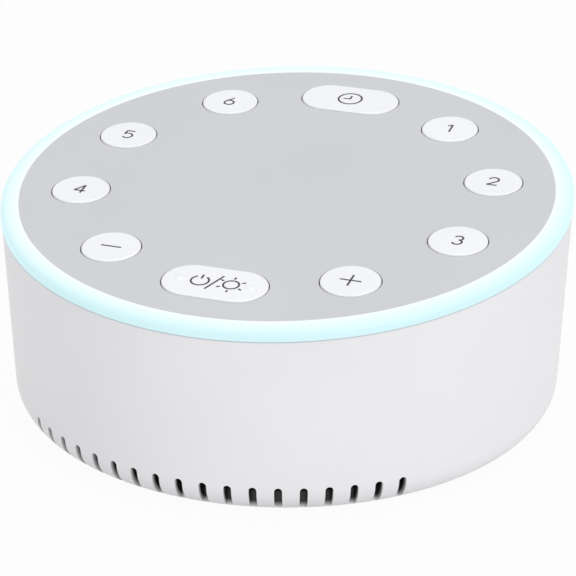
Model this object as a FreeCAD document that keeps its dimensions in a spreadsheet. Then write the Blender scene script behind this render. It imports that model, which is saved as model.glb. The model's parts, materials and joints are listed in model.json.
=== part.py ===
import FreeCAD
import Part
import math
import os
import Sketcher
from FreeCAD import Placement, Rotation, Vector

# White noise sound machine: a round, drafted housing whose top slopes down towards the front, with a
# glowing ring round a flat panel of ten keys, and a speaker that plays out of slots at the foot.
# +Z is up, the front faces -Y, and the origin lies on the table under the middle of the panel.

doc = FreeCAD.newDocument("sound_machine")

# Driving dimensions, in millimetres and degrees.
SIZES = {
    "panel_radius": 56.0,
    "panel_height": 47.8,
    "tilt": 5.2,
    "panel_thickness": 1.8,
    "ring_width": 3.8,
    "ring_depth": 2.5,
    "ring_round": 1.3,
    "ring_reveal": 0.15,
    "ring_fit": 0.06,
    "ring_ledge_width": 2.0,
    "ring_skirt_thickness": 2.2,
    "ring_skirt_depth": 7.0,
    "wall_draft": 2.46,
    "wall_thickness": 2.4,
    "corner_radius": 6.5,
    "trim_margin": 12.0,
    "touch_gap": 0.05,
    "slip_gap": 0.1,
    "overlap": 1.0,
    "foot_stand": 0.8,
    "floor_top": 3.9,
    "ledge_thickness": 1.5,
    "ledge_inset": 13.0,
    "cover_land": 0.68,
    "cover_gap": 0.2,
    "slot_inset": 1.5,
    "slot_width": 1.6,
    "slot_top": 7.7,
    "slot_count": 18,
    "slot_fan": 85.0,
    "key_inset": 12.85,
    "key_radius": 6.05,
    "pill_half_length": 10.9,
    "key_gap": 0.25,
    "key_proud": 0.3,
    "key_round": 0.35,
    "key_flange_width": 1.0,
    "key_flange_thickness": 1.0,
    "key_flange_gap": 0.02,
    "key_stem_radius": 1.6,
    "key_travel": 0.8,
    "bump_radius": 1.1,
    "bump_proud": 0.35,
    "bump_offset": 7.55,
    "bump_shoulder_share": 0.75,
    "bump_half_share": 0.6,
    "plunger_radius": 1.55,
    "plunger_top": 5.2,
    "plunger_length": 2.4,
    "plunger_gap": 0.2,
    "switch_width": 6.2,
    "switch_height": 2.6,
    "board_depth": 9.0,
    "board_thickness": 1.6,
    "board_inset": 1.2,
    "baffle_thickness": 0.8,
    "baffle_inset": 3.6,
    "led_inset": 2.4,
    "led_width": 2.0,
    "led_height": 0.8,
    "led_count": 24,
    "post_radius": 2.8,
    "post_room": 0.3,
    "panel_screw_radius": 1.0,
    "panel_screw_length": 8.5,
    "panel_screw_count": 5,
    "screw_fit": 0.05,
    "screw_hole_room": 0.2,
    "screw_head_ratio": 1.8,
    "speaker_head_ratio": 1.6,
    "well_room": 0.3,
    "chassis_inset": 0.8,
    "chassis_inner_radius": 29.0,
    "chassis_thickness": 1.5,
    "pillar_inset": 8.3,
    "pillar_radius": 3.5,
    "pillar_top": 20.0,
    "pillar_roof": 3.0,
    "well_radius": 2.5,
    "chassis_screw_radius": 1.25,
    "chassis_screw_length": 10.0,
    "base_screw_inset": 3.8,
    "base_screw_radius": 1.1,
    "base_screw_length": 6.0,
    "base_screw_angle": 20.0,
    "base_boss_radius": 3.0,
    "base_boss_height": 6.0,
    "foot_circle": 38.0,
    "foot_radius": 5.0,
    "foot_recess": 0.5,
    "speaker_radius": 26.6,
    "speaker_height": 12.0,
    "speaker_flange_thickness": 1.2,
    "speaker_post_circle": 24.5,
    "speaker_post_radius": 1.8,
    "cone_radius": 19.0,
    "cone_throat_radius": 7.5,
    "cone_rise": 8.0,
    "paper_thickness": 0.3,
    "surround_width": 3.0,
    "surround_lift": 0.3,
    "surround_roll": 1.2,
    "cap_drop": 1.9,
    "cap_rise": 0.6,
    "cap_share": 0.6,
    "basket_back_radius": 14.0,
    "basket_rise": 11.0,
    "basket_wall": 0.8,
    "basket_back_thickness": 1.0,
    "magnet_radius": 15.5,
    "magnet_height": 6.0,
    "magnet_bore": 8.6,
    "coil_radius": 7.9,
    "coil_wall": 0.4,
    "coil_room": 0.7,
    "coil_gap": 0.4,
    "pole_gap": 0.3,
    "coil_reach": 1.0,
    "plate_thickness": 2.0,
    "yoke_thickness": 2.0,
    "deflector_radius": 16.0,
    "deflector_rise": 4.5,
    "main_board_length": 30.0,
    "main_board_width": 22.0,
    "main_board_height": 8.0,
    "main_board_inset": 3.0,
    "board_screw_inset": 3.0,
    "main_screw_short": 0.5,
    "socket_width": 8.9,
    "socket_height": 3.2,
    "socket_depth": 7.4,
    "socket_wall": 0.3,
    "socket_set": 0.6,
    "socket_back_wall": 1.5,
    "tongue_half": 3.3,
    "tongue_rise": 0.35,
    "tongue_inset": 1.0,
    "socket_port_gap": 0.5,
}

sizes = doc.addObject("Spreadsheet::Sheet", "sizes")
for row, (word, number) in enumerate(SIZES.items(), 1):
    sizes.set(f"A{row}", word)
    sizes.set(f"B{row}", str(number))
    sizes.setAlias(f"B{row}", word)

# Sizes that follow from the driving ones. Depths under the panel's top face are negative.
FITS = {
    "wall_slope": "=tan(sizes.wall_draft)",
    "panel_lean": "=tan(sizes.tilt)",
    "wall_top_radius": "=sizes.panel_radius + sizes.ring_width",
    "wall_foot_radius": "=wall_top_radius - (sizes.panel_height - sizes.foot_stand) * wall_slope",
    "blank_top": "=sizes.panel_height + sizes.trim_margin",
    "wall_blank_radius": "=wall_top_radius + sizes.trim_margin * wall_slope",
    "inner_foot_radius": "=wall_top_radius - sizes.wall_thickness"
    " - (sizes.panel_height - sizes.floor_top) * wall_slope",
    "inner_blank_radius": "=wall_blank_radius - sizes.wall_thickness",
    "inner_cut": "=(sizes.corner_radius - sizes.wall_thickness) * (2 - sqrt(2))",
    "inner_cut_radius": "=inner_foot_radius - inner_cut",
    "inner_cut_top": "=sizes.floor_top + inner_cut",
    "inner_cut_reach": "=inner_foot_radius + inner_cut * wall_slope",
    "ledge_bottom": "=sizes.floor_top - sizes.ledge_thickness",
    "cover_radius": "=wall_foot_radius - sizes.corner_radius - sizes.cover_land",
    "base_screw_circle": "=cover_radius - sizes.base_screw_inset",
    "pillar_circle": "=wall_top_radius - sizes.pillar_inset",
    "cover_seat_radius": "=cover_radius + sizes.cover_gap",
    "rim_drop": "=-sizes.ring_depth",
    "ledge_inner_radius": "=sizes.panel_radius - sizes.ledge_inset",
    "slot_root_radius": "=sizes.panel_radius - sizes.slot_inset",
    "socket_back": "=sizes.panel_radius + sizes.socket_set",
    "main_board_back": "=sizes.panel_radius - sizes.main_board_inset",
    "slot_half": "=sizes.slot_width / 2",
    "slot_shoulder": "=sizes.slot_top - slot_half",
    "slot_foot": "=-1",
    "slot_swing": "=sizes.slot_fan / 2",
    "port_half_width": "=sizes.socket_width / 2 + sizes.socket_port_gap",
    "port_half_height": "=sizes.socket_height / 2 + sizes.socket_port_gap",
    "main_board_top": "=sizes.main_board_height + sizes.board_thickness",
    "port_height": "=main_board_top + sizes.socket_height / 2",
    "well_top": "=sizes.pillar_top - sizes.pillar_roof",
    "well_depth": "=well_top - ledge_bottom",
    "pillar_height": "=sizes.pillar_top - sizes.floor_top",
    "cover_thickness": "=ledge_bottom - sizes.foot_stand - sizes.touch_gap",
    "cover_top": "=sizes.foot_stand + cover_thickness",
    "foot_height": "=sizes.foot_stand + sizes.foot_recess",
    "panel_bore": "=sizes.panel_radius + sizes.ring_fit",
    "ledge_radius": "=sizes.panel_radius - sizes.ring_ledge_width",
    "skirt_radius": "=ledge_radius + sizes.ring_skirt_thickness",
    "panel_floor": "=-sizes.panel_thickness",
    "flange_top": "=-(sizes.panel_thickness + sizes.key_flange_gap)",
    "flange_floor": "=flange_top - sizes.key_flange_thickness",
    "flange_radius": "=sizes.key_radius + sizes.key_flange_width",
    "key_circle": "=sizes.panel_radius - sizes.key_inset",
    "post_circle": "=key_circle - flange_radius - sizes.post_room - sizes.post_radius",
    "opening_radius": "=sizes.key_radius + sizes.key_gap",
    "pill_run": "=sizes.pill_half_length - sizes.key_radius",
    "cap_height": "=sizes.key_proud - flange_top",
    "stem_height": "=sizes.plunger_top + flange_floor",
    "board_radius": "=sizes.panel_radius - sizes.board_inset",
    "baffle_radius": "=sizes.panel_radius - sizes.baffle_inset",
    "led_circle": "=sizes.panel_radius - sizes.led_inset",
    "chassis_radius": "=sizes.panel_radius - sizes.chassis_inset",
    "board_top": "=-sizes.board_depth",
    "board_floor": "=board_top - sizes.board_thickness",
    "switch_top": "=board_top + sizes.switch_height",
    "plunger_floor": "=-(sizes.plunger_top + sizes.plunger_length)",
    "plunger_hole": "=sizes.plunger_radius + sizes.plunger_gap",
    "plunger_room": "=switch_top - plunger_floor + sizes.key_travel + sizes.plunger_gap",
    "post_height": "=sizes.board_depth - sizes.panel_thickness",
    "baffle_height": "=sizes.board_depth - sizes.panel_thickness - sizes.touch_gap",
    "chassis_floor": "=board_floor - sizes.chassis_thickness",
    "panel_screw_hole": "=sizes.panel_screw_radius + sizes.screw_fit",
    "chassis_screw_hole": "=sizes.chassis_screw_radius + sizes.screw_fit",
    "base_screw_hole": "=sizes.base_screw_radius + sizes.screw_fit",
    "long_head": "=sizes.well_radius - sizes.well_room",
    "chassis_screw_head": "=well_top - sizes.chassis_screw_radius",
    "base_screw_head": "=sizes.base_screw_radius * sizes.screw_head_ratio",
    "port_run": "=port_half_width - port_half_height",
    "far": "=wall_top_radius * 2",
    "deflector_tip": "=cover_top + sizes.deflector_rise",
    "speaker_post_height": "=sizes.speaker_height - cover_top",
    "stand_height": "=sizes.main_board_height - cover_top",
    "foot_recess_radius": "=sizes.foot_radius + sizes.slip_gap",
    "base_sink": "=sizes.base_screw_radius",
    "base_head_height": "=base_sink - sizes.touch_gap",
    "small_head": "=sizes.panel_screw_radius * sizes.screw_head_ratio",
    "speaker_head": "=sizes.panel_screw_radius * sizes.speaker_head_ratio",
    "clear_hole": "=panel_screw_hole + sizes.screw_hole_room",
    "base_sink_radius": "=base_screw_head + sizes.slip_gap",
    "skirt_rise": "=sizes.ring_skirt_depth - sizes.overlap",
    "bump_shoulder": "=sizes.bump_radius * sizes.bump_shoulder_share",
    "bump_half_proud": "=sizes.bump_proud * sizes.bump_half_share",
    "pilot_depth": "=post_height - sizes.overlap",
    "baffle_inner": "=baffle_radius - sizes.baffle_thickness",
    "flange_crest": "=sizes.speaker_height + sizes.speaker_flange_thickness",
    "surround_outer": "=sizes.cone_radius + sizes.surround_width",
    "surround_crest": "=sizes.cone_radius + sizes.surround_width / 2",
    "surround_low": "=sizes.speaker_height + sizes.surround_lift",
    "surround_high": "=surround_low + sizes.paper_thickness",
    "surround_bottom": "=surround_low - sizes.surround_roll",
    "surround_middle": "=surround_bottom + sizes.paper_thickness",
    "basket_shoulder": "=surround_outer + sizes.basket_wall",
    "basket_top": "=sizes.speaker_height + sizes.basket_rise",
    "basket_inner_top": "=basket_top - sizes.basket_back_thickness",
    "basket_inner_back": "=sizes.basket_back_radius - sizes.basket_wall",
    "cone_top": "=surround_high + sizes.cone_rise",
    "cone_under": "=surround_low + sizes.cone_rise",
    "cap_low": "=cone_under - sizes.cap_drop",
    "cap_high": "=cap_low + sizes.paper_thickness",
    "cap_mid_radius": "=sizes.cone_throat_radius * sizes.cap_share",
    "cap_mid": "=cap_low + sizes.cap_rise",
    "coil_inner": "=sizes.coil_radius - sizes.coil_wall",
    "coil_clear": "=sizes.coil_radius + sizes.coil_room",
    "plate_bore": "=sizes.coil_radius + sizes.coil_gap",
    "pole_radius": "=coil_inner - sizes.pole_gap",
    "plate_top": "=basket_top + sizes.plate_thickness",
    "coil_high": "=plate_top + sizes.coil_reach",
    "magnet_top": "=plate_top + sizes.magnet_height",
    "yoke_top": "=magnet_top + sizes.yoke_thickness",
    "main_screw_length": "=stand_height + sizes.board_thickness - sizes.main_screw_short",
    "socket_outer": "=sizes.socket_height / 2",
    "socket_run": "=sizes.socket_width / 2 - socket_outer",
    "socket_inner": "=socket_outer - sizes.socket_wall",
}
fits = doc.addObject("Spreadsheet::Sheet", "fits")
for row, (word, formula) in enumerate(FITS.items(), 1):
    fits.set(f"A{row}", word)
    fits.setAlias(f"B{row}", word)
    fits.set(f"B{row}", formula)
doc.recompute()


def cell(word):
    """The expression that points at a named size."""
    return f"sizes.{word}" if word in SIZES else f"fits.{word}"


def mm(word):
    """The value of a named size now."""
    return float((sizes if word in SIZES else fits).get(word))


def bind(obj, **formulas):
    """Binds an object's properties to expressions, such as Radius='sizes.key_radius'."""
    for prop, formula in formulas.items():
        obj.setExpression(prop.replace("__", "."), formula)
    return obj


def lean(obj):
    """Lays an object that is drawn level on the sloping plane of the panel."""
    obj.Placement = Placement(Vector(0, 0, mm("panel_height")), Rotation(Vector(1, 0, 0), mm("tilt")))
    bind(obj, Placement__Base__z="sizes.panel_height", Placement__Rotation__Angle="sizes.tilt")
    return obj


def on_circle(word, angle):
    """The point at an angle, seen from above, on a circle of named radius."""
    turn = math.radians(angle)
    return Vector(mm(word) * math.cos(turn), mm(word) * math.sin(turn), 0)


# Sketch helpers: each coordinate of a corner is the name of a size, with an optional minus sign.
def origin_plane(body, role):
    return [part for part in body.Origin.OriginFeatures if part.Role == role][0]


def new_body(label):
    body = doc.addObject("PartDesign::Body", label + "_body")
    body.Label = label
    return body


def new_sketch(body, name, role="XY_Plane", height=None):
    sketch = body.newObject("Sketcher::SketchObject", name)
    sketch.AttachmentSupport = [(origin_plane(body, role), "")]
    sketch.MapMode = "FlatFace"
    if height is not None:
        bind(sketch, AttachmentOffset__Base__z=height)
    return sketch


def corner_value(name):
    if name == "0":
        return 0.0
    return -mm(name[1:]) if name.startswith("-") else mm(name)


def pin(sketch, kind, geo, point, name):
    """Holds a point's distance from the sketch's origin along one axis at a named size."""
    index = sketch.addConstraint(Sketcher.Constraint(kind, -1, 1, geo, point, corner_value(name)))
    if name != "0":
        sign = "-" if name.startswith("-") else ""
        sketch.setExpression(f"Constraints[{index}]", sign + cell(name.lstrip("-")))


def draw_outline(sketch, corners):
    """A closed outline of straight runs through corners given as pairs of size names."""
    spots = [Vector(corner_value(across), corner_value(up), 0) for across, up in corners]
    first = len(sketch.Geometry)
    count = len(corners)
    for step in range(count):
        sketch.addGeometry(Part.LineSegment(spots[step], spots[(step + 1) % count]), False)
    for step in range(count):
        follower = first + (step + 1) % count
        sketch.addConstraint(Sketcher.Constraint("Coincident", first + step, 2, follower, 1))
    for step, (across, up) in enumerate(corners):
        pin(sketch, "DistanceX", first + step, 1, across)
        pin(sketch, "DistanceY", first + step, 1, up)


def draw_circle(sketch, radius, centre=Vector(0, 0, 0)):
    geo = sketch.addGeometry(Part.Circle(centre, Vector(0, 0, 1), mm(radius)), False)
    index = sketch.addConstraint(Sketcher.Constraint("Radius", geo, mm(radius)))
    sketch.setExpression(f"Constraints[{index}]", cell(radius))
    sketch.addConstraint(Sketcher.Constraint("DistanceX", -1, 1, geo, 3, centre.x))
    sketch.addConstraint(Sketcher.Constraint("DistanceY", -1, 1, geo, 3, centre.y))


def draw_pill(sketch, run, radius):
    """A pill about the sketch's origin: two half circles of one radius, a run each side of it, and two
    straight sides."""
    half, span = mm(radius), mm(run)
    up = Vector(0, 0, 1)
    quarter = math.pi / 2
    right = Part.ArcOfCircle(Part.Circle(Vector(span, 0, 0), up, half), -quarter, quarter)
    left = Part.ArcOfCircle(Part.Circle(Vector(-span, 0, 0), up, half), quarter, 3 * quarter)
    top = Part.LineSegment(Vector(span, half, 0), Vector(-span, half, 0))
    bottom = Part.LineSegment(Vector(-span, -half, 0), Vector(span, -half, 0))
    first = len(sketch.Geometry)
    for edge in (right, top, left, bottom):
        sketch.addGeometry(edge, False)
    for step in range(4):
        sketch.addConstraint(Sketcher.Constraint("Tangent", first + step, 2, first + (step + 1) % 4, 1))
    for geo, sign in ((first, ""), (first + 2, "-")):
        pin(sketch, "DistanceX", geo, 3, sign + run)
        sketch.addConstraint(Sketcher.Constraint("PointOnObject", geo, 3, -1))
    index = sketch.addConstraint(Sketcher.Constraint("Radius", first, half))
    sketch.setExpression(f"Constraints[{index}]", cell(radius))


def pad(body, sketch, name, length, down=False):
    feature = body.newObject("PartDesign::Pad", name)
    feature.Profile = sketch
    feature.Reversed = down
    bind(feature, Length=length)
    return feature


def pocket(body, sketch, name, length=None, other_way=False, through_both=False):
    """A pocket that has to take something away."""
    doc.recompute()
    before = body.Shape.Volume
    feature = body.newObject("PartDesign::Pocket", name)
    feature.Profile = sketch
    feature.Reversed = other_way
    if length is None:
        feature.Type = "ThroughAll"
    else:
        bind(feature, Length=length)
    if through_both:
        feature.Midplane = True
    doc.recompute()
    if body.Shape.Volume > before - 1e-3:
        raise RuntimeError(f"{name} took nothing away")
    return feature


def revolve(body, sketch, name):
    feature = body.newObject("PartDesign::Revolution", name)
    feature.Profile = sketch
    feature.ReferenceAxis = (sketch, ["V_Axis"])
    feature.Angle = 360.0
    return feature


def edges_where(shape, test):
    """Names of the edges that pass a test on their length, centre and box."""
    return [f"Edge{n}" for n, edge in enumerate(shape.Edges, 1) if test(edge)]


def is_level_circle(radius, height):
    """A test for the whole level circles of one radius at one height."""

    def test(edge):
        curve = edge.Curve
        if not isinstance(curve, Part.Circle):
            return False
        return abs(curve.Radius - radius) < 1e-4 and abs(curve.Center.z - height) < 1e-4

    return test


def round_edges(body, name, radius, test):
    """Rounds the edges of a body's last feature that pass a test."""
    doc.recompute()
    last = body.Tip
    picked = edges_where(last.Shape, test)
    if not picked:
        raise RuntimeError(f"{name} found no edge")
    feature = body.newObject("PartDesign::Fillet", name)
    feature.Base = (last, picked)
    bind(feature, Radius=radius)
    doc.recompute()
    return feature


# Part helpers for the plain inner pieces.
def cylinder(name, radius, height, base=Vector(0, 0, 0), lift=None):
    obj = doc.addObject("Part::Cylinder", name)
    bind(obj, Radius=radius, Height=height)
    obj.Placement.Base = base
    if lift is not None:
        bind(obj, Placement__Base__z=lift)
    return obj


def cone(name, low_radius, high_radius, height, lift=None):
    obj = doc.addObject("Part::Cone", name)
    bind(obj, Radius1=low_radius, Radius2=high_radius, Height=height)
    if lift is not None:
        bind(obj, Placement__Base__z=lift)
    return obj


def block(name, length, width, height, spot=("0", "0", "0"), turn=0.0):
    """A box with its lowest corner at a spot given by three expressions."""
    obj = doc.addObject("Part::Box", name)
    bind(obj, Length=length, Width=width, Height=height)
    obj.Placement.Rotation = Rotation(Vector(0, 0, 1), turn)
    bind(obj, Placement__Base__x=spot[0], Placement__Base__y=spot[1], Placement__Base__z=spot[2])
    return obj


def cut(name, base, tool):
    obj = doc.addObject("Part::Cut", name)
    obj.Base = base
    obj.Tool = tool
    return obj


def fuse(name, shapes):
    obj = doc.addObject("Part::MultiFuse", name)
    obj.Shapes = shapes
    return obj


def group(name, links):
    """Separate solids that share one node."""
    obj = doc.addObject("Part::Compound", name)
    obj.Links = links
    return obj


def shaft(name, kind, spot):
    """A screw's shank, from the two sizes of its kind."""
    return cylinder(name, f"sizes.{kind}_radius", f"sizes.{kind}_length", spot)


nodes = []


def keep(obj, label=None):
    """Notes a finished sub-part, whose label names its file."""
    if label is not None:
        obj.Label = label
    nodes.append(obj)
    return obj


PILLAR_ANGLES = (45, 135, 225, 315)
BASE_SCREW_ANGLES = tuple(
    side + sign * mm("base_screw_angle") for side, sign in ((0, 1), (180, -1), (180, 1), (360, -1))
)
FOOT_ANGLES = (45, 135, 225, 315)
POST_COUNT = int(mm("panel_screw_count"))
POST_ANGLES = tuple(90 + 360 / POST_COUNT * step for step in range(POST_COUNT))


# Housing: one drafted wall with a rounded foot, a ledge for the base cover, and screw pillars.
def make_housing():
    body = new_body("housing_shell")
    wall = new_sketch(body, "wall_section", "XZ_Plane")
    draw_outline(
        wall,
        [
            ("ledge_inner_radius", "ledge_bottom"),
            ("cover_seat_radius", "ledge_bottom"),
            ("cover_seat_radius", "foot_stand"),
            ("wall_foot_radius", "foot_stand"),
            ("wall_blank_radius", "blank_top"),
            ("inner_blank_radius", "blank_top"),
            ("inner_cut_reach", "inner_cut_top"),
            ("inner_cut_radius", "floor_top"),
            ("ledge_inner_radius", "floor_top"),
        ],
    )
    revolve(body, wall, "wall")
    foot_ring = is_level_circle(mm("wall_foot_radius"), mm("foot_stand"))
    round_edges(body, "foot_round", "sizes.corner_radius", foot_ring)

    # Pillars for the top module, each fused to the wall at its foot, with a well for the screw.
    pillars = new_sketch(body, "pillar_plan", height="sizes.floor_top")
    bosses = new_sketch(body, "boss_plan", height="sizes.floor_top")
    wells = new_sketch(body, "well_plan", height="fits.ledge_bottom")
    shanks = new_sketch(body, "shank_plan", height="fits.ledge_bottom")
    pilots = new_sketch(body, "pilot_plan", height="fits.ledge_bottom")
    for angle in PILLAR_ANGLES:
        draw_circle(pillars, "pillar_radius", on_circle("pillar_circle", angle))
        draw_circle(wells, "well_radius", on_circle("pillar_circle", angle))
        draw_circle(shanks, "chassis_screw_hole", on_circle("pillar_circle", angle))
    for angle in BASE_SCREW_ANGLES:
        draw_circle(bosses, "base_boss_radius", on_circle("base_screw_circle", angle))
        draw_circle(pilots, "base_screw_hole", on_circle("base_screw_circle", angle))
    pad(body, pillars, "pillars", "fits.pillar_height")
    pad(body, bosses, "bosses", "sizes.base_boss_height")
    pocket(body, wells, "wells", "fits.well_depth", other_way=True)
    pocket(body, shanks, "shank_holes", other_way=True)
    pocket(body, pilots, "pilot_holes", "sizes.base_boss_height", other_way=True)

    # The rim is cut on the panel's slope.
    slope = new_sketch(body, "rim_slope", "YZ_Plane")
    slope.AttachmentOffset = Placement(Vector(0, 0, 0), Rotation(Vector(0, 0, 1), mm("tilt")))
    bind(slope, AttachmentOffset__Rotation__Angle="sizes.tilt")
    bind(slope, AttachmentOffset__Base__y="sizes.panel_height")
    draw_outline(slope, [("-far", "rim_drop"), ("far", "rim_drop"), ("far", "far"), ("-far", "far")])
    pocket(body, slope, "rim_cut", through_both=True)

    # Sound slots round the front of the foot: the first is cut at one end of the fan.
    slot = new_sketch(body, "slot_outline", "XZ_Plane")
    swing = math.radians(mm("slot_swing"))
    root = mm("slot_root_radius")
    start = Vector(root * math.sin(swing), 0, root * math.cos(swing))
    slot.AttachmentOffset = Placement(start, Rotation(Vector(0, 1, 0), mm("slot_swing")))
    bind(
        slot,
        AttachmentOffset__Base__x="fits.slot_root_radius * sin(fits.slot_swing)",
        AttachmentOffset__Base__z="fits.slot_root_radius * cos(fits.slot_swing)",
        AttachmentOffset__Rotation__Angle="fits.slot_swing",
    )
    half, shoulder, foot = mm("slot_half"), mm("slot_shoulder"), mm("slot_foot")
    arch = Part.ArcOfCircle(Part.Circle(Vector(0, shoulder, 0), Vector(0, 0, 1), half), 0, math.pi)
    slot.addGeometry(arch, False)
    slot.addGeometry(Part.LineSegment(Vector(-half, shoulder, 0), Vector(-half, foot, 0)), False)
    slot.addGeometry(Part.LineSegment(Vector(-half, foot, 0), Vector(half, foot, 0)), False)
    slot.addGeometry(Part.LineSegment(Vector(half, foot, 0), Vector(half, shoulder, 0)), False)
    for step in range(4):
        slot.addConstraint(Sketcher.Constraint("Coincident", step, 2, (step + 1) % 4, 1))
    for point, side in ((1, ""), (2, "-")):
        pin(slot, "DistanceX", 0, point, side + "slot_half")
        pin(slot, "DistanceY", 0, point, "slot_shoulder")
    pin(slot, "DistanceY", 0, 3, "slot_shoulder")
    pin(slot, "DistanceX", 1, 2, "-slot_half")
    pin(slot, "DistanceY", 1, 2, "slot_foot")
    pin(slot, "DistanceX", 2, 2, "slot_half")
    pin(slot, "DistanceY", 2, 2, "slot_foot")
    first_slot = pocket(body, slot, "slot", "sizes.corner_radius", other_way=True)
    before = body.Shape.Volume
    fan = body.newObject("PartDesign::PolarPattern", "slots")
    fan.Originals = [first_slot]
    fan.Axis = (origin_plane(body, "Z_Axis"), [""])
    fan.Reversed = True
    bind(fan, Angle="sizes.slot_fan", Occurrences="sizes.slot_count")
    body.Tip = fan
    doc.recompute()
    if body.Shape.Volume > before - 1:
        raise RuntimeError("the slots took nothing away")

    # Port for the power socket, at the back.
    port = new_sketch(body, "port_outline", "XZ_Plane")
    bind(port, AttachmentOffset__Base__y="fits.port_height")
    draw_pill(port, "port_run", "port_half_height")
    pocket(body, port, "power_port")
    return keep(body)


# Base cover: a disc with a cone that turns the sound outwards, and posts for the speaker.
def make_base():
    body = new_body("base_cover")
    disc = new_sketch(body, "disc_plan", height="sizes.foot_stand")
    draw_circle(disc, "cover_radius")
    pad(body, disc, "disc", "fits.cover_thickness")
    deflector = new_sketch(body, "deflector_section", "XZ_Plane")
    draw_outline(deflector, [("0", "cover_top"), ("deflector_radius", "cover_top"), ("0", "deflector_tip")])
    revolve(body, deflector, "deflector")
    posts = new_sketch(body, "post_plan", height="fits.cover_top")
    pilots = new_sketch(body, "speaker_pilot_plan", height="sizes.speaker_height")
    for angle in FOOT_ANGLES:
        draw_circle(posts, "speaker_post_radius", on_circle("speaker_post_circle", angle))
        draw_circle(pilots, "panel_screw_hole", on_circle("speaker_post_circle", angle))
    pad(body, posts, "speaker_posts", "fits.speaker_post_height")
    pocket(body, pilots, "speaker_pilots", "sizes.base_screw_length")
    stands = new_sketch(body, "stand_plan", height="fits.cover_top")
    stand_pilots = new_sketch(body, "stand_pilot_plan", height="sizes.main_board_height")
    for spot in board_screw_spots():
        draw_circle(stands, "post_radius", spot)
        draw_circle(stand_pilots, "panel_screw_hole", spot)
    pad(body, stands, "board_stands", "fits.stand_height")
    pocket(body, stand_pilots, "board_pilots", "fits.stand_height")
    recesses = new_sketch(body, "recess_plan", height="sizes.foot_stand")
    holes = new_sketch(body, "hole_plan", height="sizes.foot_stand")
    sinks = new_sketch(body, "sink_plan", height="sizes.foot_stand")
    for angle in FOOT_ANGLES:
        draw_circle(recesses, "foot_recess_radius", on_circle("foot_circle", angle))
    for angle in BASE_SCREW_ANGLES:
        draw_circle(holes, "base_screw_hole", on_circle("base_screw_circle", angle))
        draw_circle(sinks, "base_sink_radius", on_circle("base_screw_circle", angle))
    pocket(body, recesses, "foot_recesses", "sizes.foot_recess", other_way=True)
    pocket(body, holes, "screw_holes", other_way=True)
    pocket(body, sinks, "screw_sinks", "fits.base_sink", other_way=True)
    keep(body)

    feet = []
    for step, angle in enumerate(FOOT_ANGLES):
        spot = on_circle("foot_circle", angle)
        feet.append(cylinder(f"foot_{step}", "sizes.foot_radius", "fits.foot_height", spot))
    keep(group("feet", feet), "rubber_feet")
    screws = []
    for step, angle in enumerate(BASE_SCREW_ANGLES):
        spot = on_circle("base_screw_circle", angle)
        shank = shaft(f"base_shank_{step}", "base_screw", spot)
        bind(shank, Placement__Base__z="sizes.foot_stand + fits.base_sink")
        head = cylinder(f"base_head_{step}", "fits.base_screw_head", "fits.base_head_height", spot)
        bind(head, Placement__Base__z="sizes.foot_stand + sizes.touch_gap")
        screws.append(fuse(f"base_screw_{step}", [shank, head]))
    keep(group("screws_in_base", screws), "base_screws")


def board_screw_spots():
    """The main board's two screws, just inside its front corners."""
    across = mm("main_board_length") / 2 - mm("board_screw_inset")
    back = mm("main_board_back") - mm("main_board_width") + mm("board_screw_inset")
    return [Vector(-across, back, 0), Vector(across, back, 0)]


# Light ring: follows the housing's drafted outline, stands a hair proud of it, and holds the panel.
def make_ring():
    envelope = cone(
        "ring_envelope",
        "fits.wall_foot_radius + sizes.ring_reveal",
        "fits.wall_blank_radius + sizes.ring_reveal",
        "fits.blank_top - sizes.foot_stand",
        lift="sizes.foot_stand",
    )
    slab = lean(cylinder("ring_slab", "fits.far", "sizes.ring_depth"))
    sink(slab, "sizes.ring_depth")
    band = doc.addObject("Part::Common", "ring_band")
    band.Base = envelope
    band.Tool = slab
    doc.recompute()
    rim = [edge for edge in band.Shape.Edges if edge.BoundBox.DiagonalLength > mm("panel_radius")]
    top = max(range(len(rim)), key=lambda n: rim[n].CenterOfMass.z if rim[n].Closed else -1.0)
    number = [n for n, edge in enumerate(band.Shape.Edges, 1) if edge.isSame(rim[top])][0]
    rounded = doc.addObject("Part::Fillet", "ring_round_over")
    rounded.Base = band
    rounded.Edges = [(number, mm("ring_round"), mm("ring_round"))]
    doc.recompute()

    ledge = lean(cylinder("ring_ledge_blank", "fits.skirt_radius", "fits.skirt_rise"))
    sink(ledge, "sizes.ring_skirt_depth")
    whole = fuse("ring_blank", [rounded, ledge])
    seat = lean(cylinder("ring_seat", "fits.panel_bore", "sizes.panel_thickness + sizes.trim_margin"))
    sink(seat, "sizes.panel_thickness")
    bore = lean(cylinder("ring_bore", "fits.ledge_radius", "sizes.ring_skirt_depth + sizes.trim_margin"))
    sink(bore, "sizes.ring_skirt_depth + sizes.overlap")
    keep(cut("ring", whole, fuse("ring_hollow", [seat, bore])), "light_ring")


def sink(obj, depth):
    """Lowers a leaning object along the panel's normal."""
    bind(obj, Placement__Base__y=f"({depth}) * sin(sizes.tilt)")
    bind(obj, Placement__Base__z=f"sizes.panel_height - ({depth}) * cos(sizes.tilt)")
    return obj


# Keys, clockwise from the back as seen from above.
KEYS = {
    "timer_key": (0, True),
    "sound_key_1": (36, False),
    "sound_key_2": (72, False),
    "sound_key_3": (108, False),
    "volume_up_key": (144, False),
    "power_light_key": (180, True),
    "volume_down_key": (216, False),
    "sound_key_4": (252, False),
    "sound_key_5": (288, False),
    "sound_key_6": (324, False),
}


def key_spot(clock):
    return on_circle("key_circle", 90 - clock)


def draw_key(sketch, is_pill, radius):
    if is_pill:
        draw_pill(sketch, "pill_run", radius)
    else:
        draw_circle(sketch, radius)


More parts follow.
